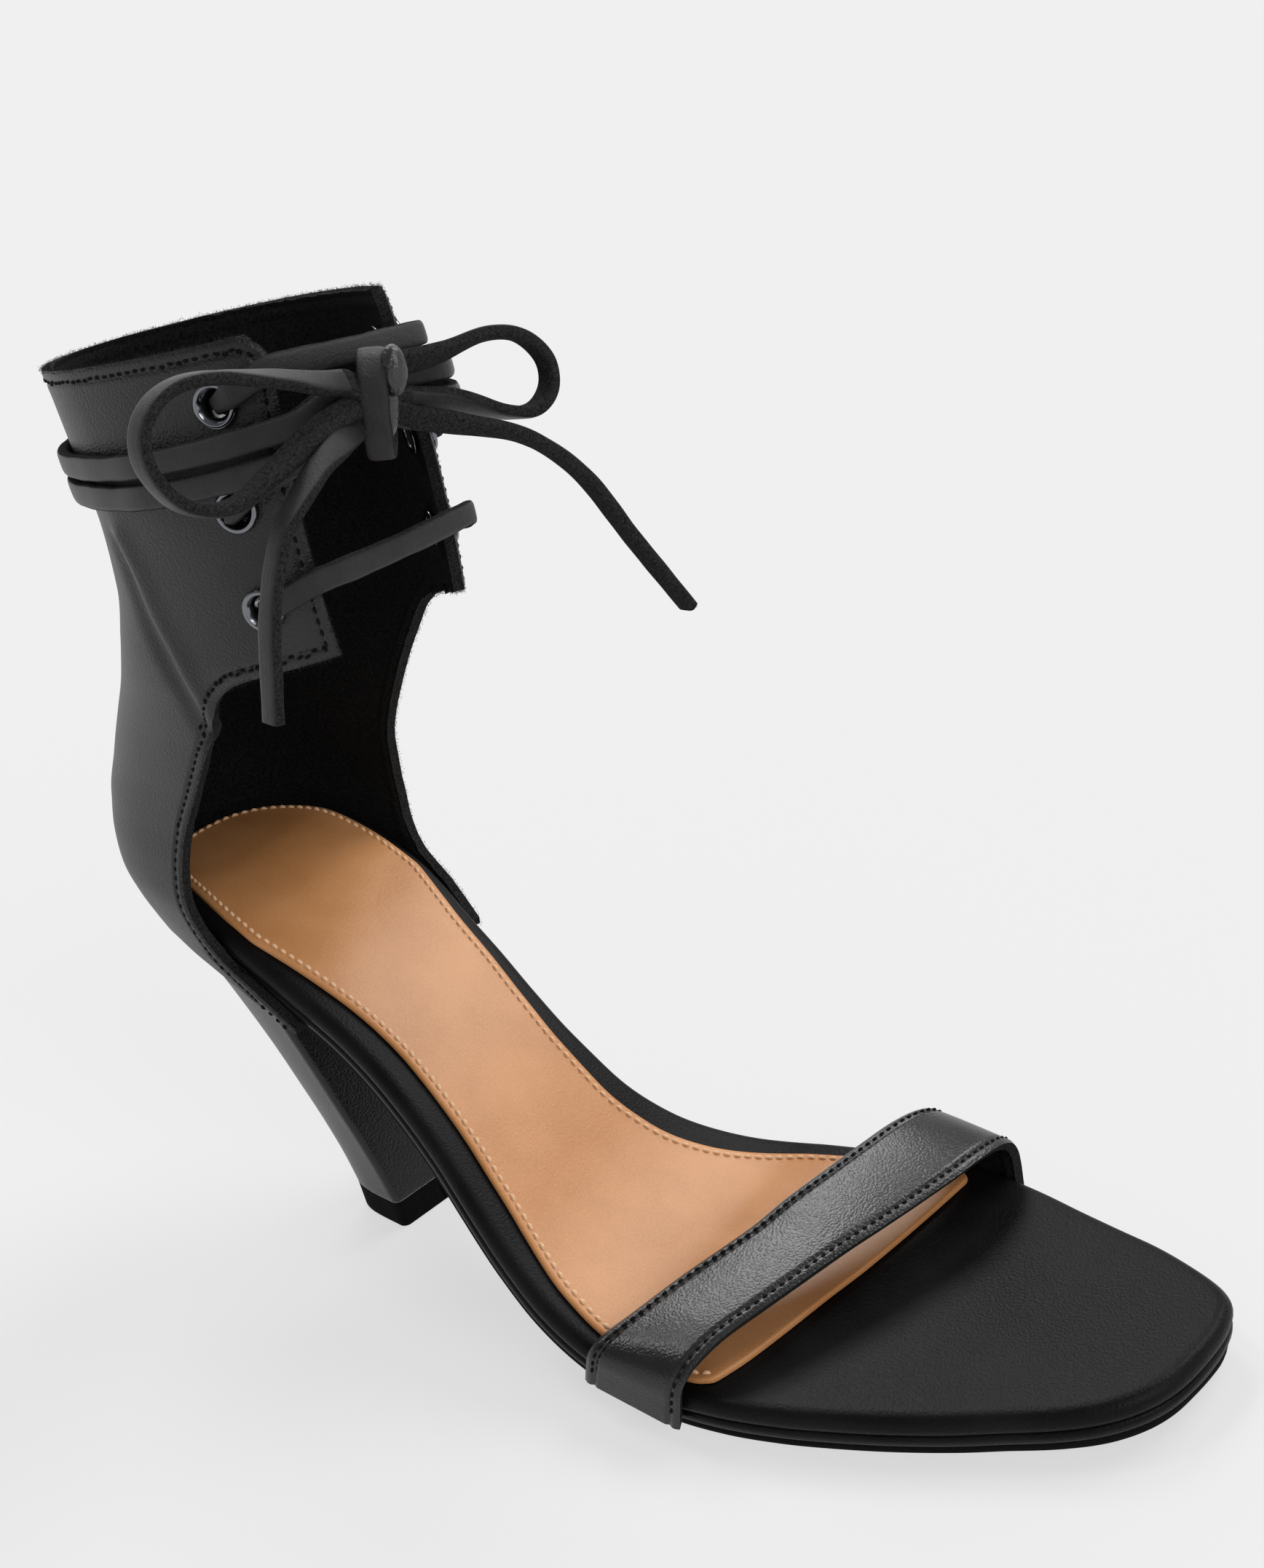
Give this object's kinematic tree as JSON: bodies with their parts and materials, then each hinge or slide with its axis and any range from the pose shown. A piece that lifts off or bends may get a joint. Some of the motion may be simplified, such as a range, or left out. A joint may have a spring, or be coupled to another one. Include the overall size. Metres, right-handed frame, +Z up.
{
  "type": "lace-up heeled sandal",
  "caption": "Open-toe sandal for the right foot with a leather-wrapped block heel, a toe strap, and a closed heel counter that rises to a laced ankle cuff.",
  "frame": {"origin": "on the floor under the middle of the heel's top lift", "axes": "+X to the toe, +Y to the inner side of the foot, +Z up; the shoe stands on its heel tip and forefoot"},
  "size_m": [0.231, 0.1054, 0.1927],
  "materials": {
    "black_leather": "satin",
    "tan_leather": "satin",
    "sole": "matte",
    "lace": "matte",
    "eyelet": "satin"
  },
  "bodies": {
    "root": {"outsole": "sole", "footbed": "black_leather", "sock": "tan_leather", "heel": "black_leather", "top_lift": "sole", "upper": "black_leather", "toe_strap": "black_leather", "eyelet_lower_outer": "eyelet", "eyelet_lower_inner": "eyelet", "eyelet_middle_outer": "eyelet", "eyelet_middle_inner": "eyelet", "eyelet_upper_outer": "eyelet", "eyelet_upper_inner": "eyelet", "lace_bar_lower": "lace", "lace_bar_upper": "lace", "lace_wrap_upper": "lace", "lace_wrap_lower": "lace", "lace_knot": "lace", "lace_loop_outer": "lace", "lace_loop_inner": "lace", "lace_end_outer": "lace", "lace_end_inner": "lace"}
  },
  "joints": []
}
